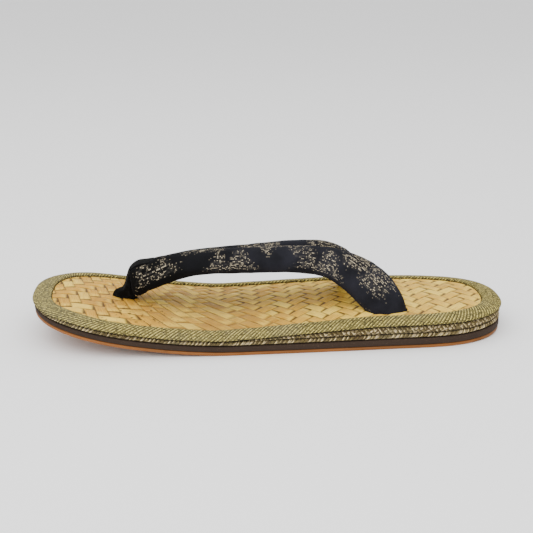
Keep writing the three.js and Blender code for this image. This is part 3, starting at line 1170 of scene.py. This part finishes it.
def addPatches(piece, rows, patches):
    # how thick the pale flecks stand, kept on every corner of the cloth
    def dye(bm):
        cloth = bm.loops.layers.uv["cloth"]
        flecks = bm.verts.layers.float.new("flecks")
        for vert in bm.verts:
            spots = [onStrap(rows, loop[cloth].uv) for loop in vert.link_loops]
            vert[flecks] = max(patchShare(patches, *spot) for spot in spots)

    reshape(piece, dye)


def handTucks(piece, rows):
    def gather(bm):
        bm.normal_update()
        cloth = bm.loops.layers.uv["cloth"]
        for vert in bm.verts:
            along, height = onStrap(rows, vert.link_loops[0][cloth].uv)
            sink = 0.0
            for tuckAlong, tuckHeight, long, depth in strap["tucks"]:
                run = (along - tuckAlong) * 0.5 + (height - tuckHeight) * 14
                cross = (along - tuckAlong) * 0.9 - (height - tuckHeight) * 7
                sink += depth * math.exp(-((cross / strap["tuckWide"]) ** 2) - (run / long) ** 2)
            swell = sum(noise.noise(vert.co / mm * fine) * high for fine, high in strap["lumps"])
            vert.co += vert.normal * (swell - sink) * mm

    reshape(piece, gather)


for arm, far in ((nearArm, False), (farArm, True)):
    patches = strap["farPatches"] if far else strap["nearPatches"]
    handTucks(arm, armRows(far))
    roundOff(arm)
    applyAll(arm)
    addPatches(arm, armRows(far), patches)
print("strap arms stuffed")


# toe post
post = {
    # along, up, wide, thick
    "rows": [
        (51.6, 13.2, 5.2, 14.0),
        (51.6, 19.8, 5.8, 13.8),
        (52.3, 21.6, 7.4, 11.0),
        (53.2, 23.6, 9.0, 7.4),
        (53.8, 26.6, 9.8, 4.8),
        (54.9, 32.0, 10.2, 3.8),
        (56.6, 36.3, 10.6, 3.6),
        (60.0, 38.8, 10.8, 3.4),
        (65.0, 39.6, 10.4, 3.2),
        (69.5, 40.4, 9.4, 3.0),
    ],
    "steps": 70,
    "sides": 36,
    "foot": 50,  # along
    "room": 0.25,  # mm round it
    "black": tint(9, 9, 9),
    "greyish": tint(24, 24, 25),
    "finish": (0.9, 0.06, 0.02, 0.5),
}


def postLay(grow=0.0):
    half = sole["length"] / 2
    rows = [[0.0, 0.0, along - half, up, wide, thick] for along, up, wide, thick in post["rows"]]
    for before, row in zip(rows, rows[1:]):
        row[0] = before[0] + (Vector(row[1:4]) - Vector(before[1:4])).length
    total = rows[-1][0]

    def lay(s, t):
        at = s * total
        centre = tubeFrame(rows, at, (1, 2, 3))
        ahead = tubeFrame(rows, min(at + 0.4, total), (1, 2, 3))
        behind = tubeFrame(rows, max(at - 0.4, 0), (1, 2, 3))
        tangent = (ahead - behind).normalized()
        thickWay = Vector((1, 0, 0)).cross(tangent).normalized()
        angle = 2 * math.pi * (0 if t > 1 - 1e-6 else t)
        shut = 0 if s < 1e-6 or s > 1 - 1e-6 else 1
        wide, thick = curveThrough(rows, at, 4) / 2 + grow, curveThrough(rows, at, 5) / 2 + grow
        fold = 1 - 0.05 * math.cos(6 * angle) * shut
        place = centre + Vector((1, 0, 0)) * wide * rounded(math.cos(angle)) * shut * fold
        place += thickWay * thick * rounded(math.sin(angle)) * shut * fold
        return place, (at, t * 26)

    return lay


postPiece = wrapSheet("toeLoop", post["steps"], post["sides"], postLay())


def weaveHeight(tree, x, y, threads):
    waves = [calc(tree, "SINE", times(tree, way, threads)) for way in (x, y)]
    return plus(tree, *waves)


def strapCloth():
    material, tree, shader = newMaterial("fleckedNavyCotton")
    x, y, _ = clothMap(tree, "cloth")
    flecks = tree.nodes.new("ShaderNodeAttribute")
    flecks.attribute_name = "flecks"
    thickness = flecks.outputs["Fac"]
    place = objectPlace(tree)
    drift = times(tree, calc(tree, "SUBTRACT", speckle(tree, place, 90, 2), 0.5), 1.2)
    v = calc(tree, "DIVIDE", calc(tree, "SUBTRACT", y, drift), strap["stitch"])
    row = calc(tree, "FLOOR", v)
    slip = times(tree, chance(tree, row, 7.0), 3.0)
    u = calc(tree, "DIVIDE", plus(tree, x, drift, slip), strap["stitch"] * 1.15)
    pick = chance(tree, calc(tree, "FLOOR", u), row)
    # the pale threads run along the cloth in short dashes
    dashes = speckle(tree, joinVector(tree, times(tree, x, 0.33), times(tree, row, 0.9)), 1.0)
    wanted = times(tree, thickness, fade(tree, dashes, 0.36, 0.64, 0.12, 1.2))
    chosen = calc(tree, "LESS_THAN", pick, times(tree, wanted, 0.72))
    sideU = offMiddle(tree, calc(tree, "FRACT", u))
    sideV = offMiddle(tree, calc(tree, "FRACT", v))
    dash = times(tree, fade(tree, sideU, 0.2, 0.46, 1, 0), fade(tree, sideV, 0.12, 0.42, 1, 0))
    run = chance(tree, row, calc(tree, "FLOOR", calc(tree, "DIVIDE", u, 4.0)))
    fainter = fade(tree, wanted, 0.1, 0.7, 0.35, 1.0)
    strength = times(tree, fade(tree, run, 0.0, 1.0, 0.4, 1.0), fainter)
    fleck = times(tree, chosen, dash, strength)
    # between the flecks of a patch the dyed threads show a little grey
    haze = times(tree, fade(tree, wanted, 0.1, 0.8), 0.3)
    blots = speckle(tree, place, 70, 3)
    navyShare = times(tree, fade(tree, blots, 0.3, 0.7, 0.4, 1.0), fade(tree, x, 5.0, 110.0))
    base = mixColour(tree, navyShare, strap["shade"], strap["navy"])
    base = mixColour(tree, haze, base, strap["dim"])
    colour = mixColour(tree, fleck, base, strap["cream"])
    clothFinish(tree, shader, colour, strap["finish"])
    shader.inputs["Sheen Tint"].default_value = strap["sheen"]
    weave = weaveHeight(tree, x, y, 12.0)
    height = calc(tree, "MULTIPLY_ADD", fleck, 1.2, times(tree, weave, 0.35))
    raiseSurface(tree, shader, height, 0.00012, 0.8)
    return material


def postCloth():
    material, tree, shader = newMaterial("plainBlackCotton")
    x, y, _ = clothMap(tree, "cloth")
    place = objectPlace(tree)
    fuzz = speckle(tree, place, 500, 3)
    colour = mixColour(tree, fade(tree, fuzz, 0.45, 0.75, 0, 0.6), post["black"], post["greyish"])
    clothFinish(tree, shader, colour, post["finish"])
    weave = weaveHeight(tree, x, y, 11.0)
    raiseSurface(tree, shader, calc(tree, "MULTIPLY_ADD", weave, 0.3, fuzz), 0.0001, 0.8)
    return material


# fitting the pieces to each other
def joined(name, parts):
    bm = bmesh.new()
    for part in parts:
        bm.from_mesh(part.data)
    return finishPiece(bm, name)


def discard(*pieces):
    for piece in pieces:
        bpy.data.objects.remove(piece, do_unlink=True)


def cutRear(piece, height):
    def trim(bm):
        everything = bm.verts[:] + bm.edges[:] + bm.faces[:]
        cut = bmesh.ops.bisect_plane(
            bm, geom=everything, plane_co=(0, 0, height * mm), plane_no=(0, 0, 1), clear_inner=True
        )
        rim = [edge for edge in cut["geom_cut"] if isinstance(edge, bmesh.types.BMEdge)]
        bmesh.ops.holes_fill(bm, edges=rim)

    reshape(piece, trim)
    mend(piece)


for arm in (nearArm, farArm):
    cutRear(arm, strap["rearCut"])
fatPost = wrapSheet("fatPost", post["steps"], post["sides"], postLay(post["room"]))
for arm in (nearArm, farArm):
    cutAway(arm, fatPost)
strapPiece = joined("stuffedStrap", [nearArm, farArm])
room = strap["holeRoom"]
holeArms = [
    wrapSheet("holeNear", strap["steps"], strap["sides"], armLay(armRows(False), 1, room)),
    wrapSheet("holeFar", strap["steps"], strap["sides"], armLay(armRows(True), -1, room)),
]
for cutter in holeArms + [fatPost]:
    cutAway(matPiece, cutter)
cutRear(postPiece, wedgeTop(post["foot"]) + post["room"])
discard(nearArm, farArm, fatPost, *holeArms)
wear(strapPiece, strapCloth(), "strap")
roundOff(postPiece)
wear(postPiece, postCloth(), "toe_post")
wear(matPiece, plaitedStraw(), "insole")
print("strap and mat fitted")


floorLook = {"halfSize": 6, "grey": 0.97, "roughness": 0.8}


def layFloor():
    bm = bmesh.new()
    bmesh.ops.create_grid(bm, x_segments=1, y_segments=1, size=floorLook["halfSize"])
    floor = finishPiece(bm, "floor")
    material, _, shader = newMaterial("paleFloor")
    shader.inputs["Base Color"].default_value = (*[floorLook["grey"]] * 3, 1)
    shader.inputs["Roughness"].default_value = floorLook["roughness"]
    floor.data.materials.append(material)


layFloor()
print("floor laid")
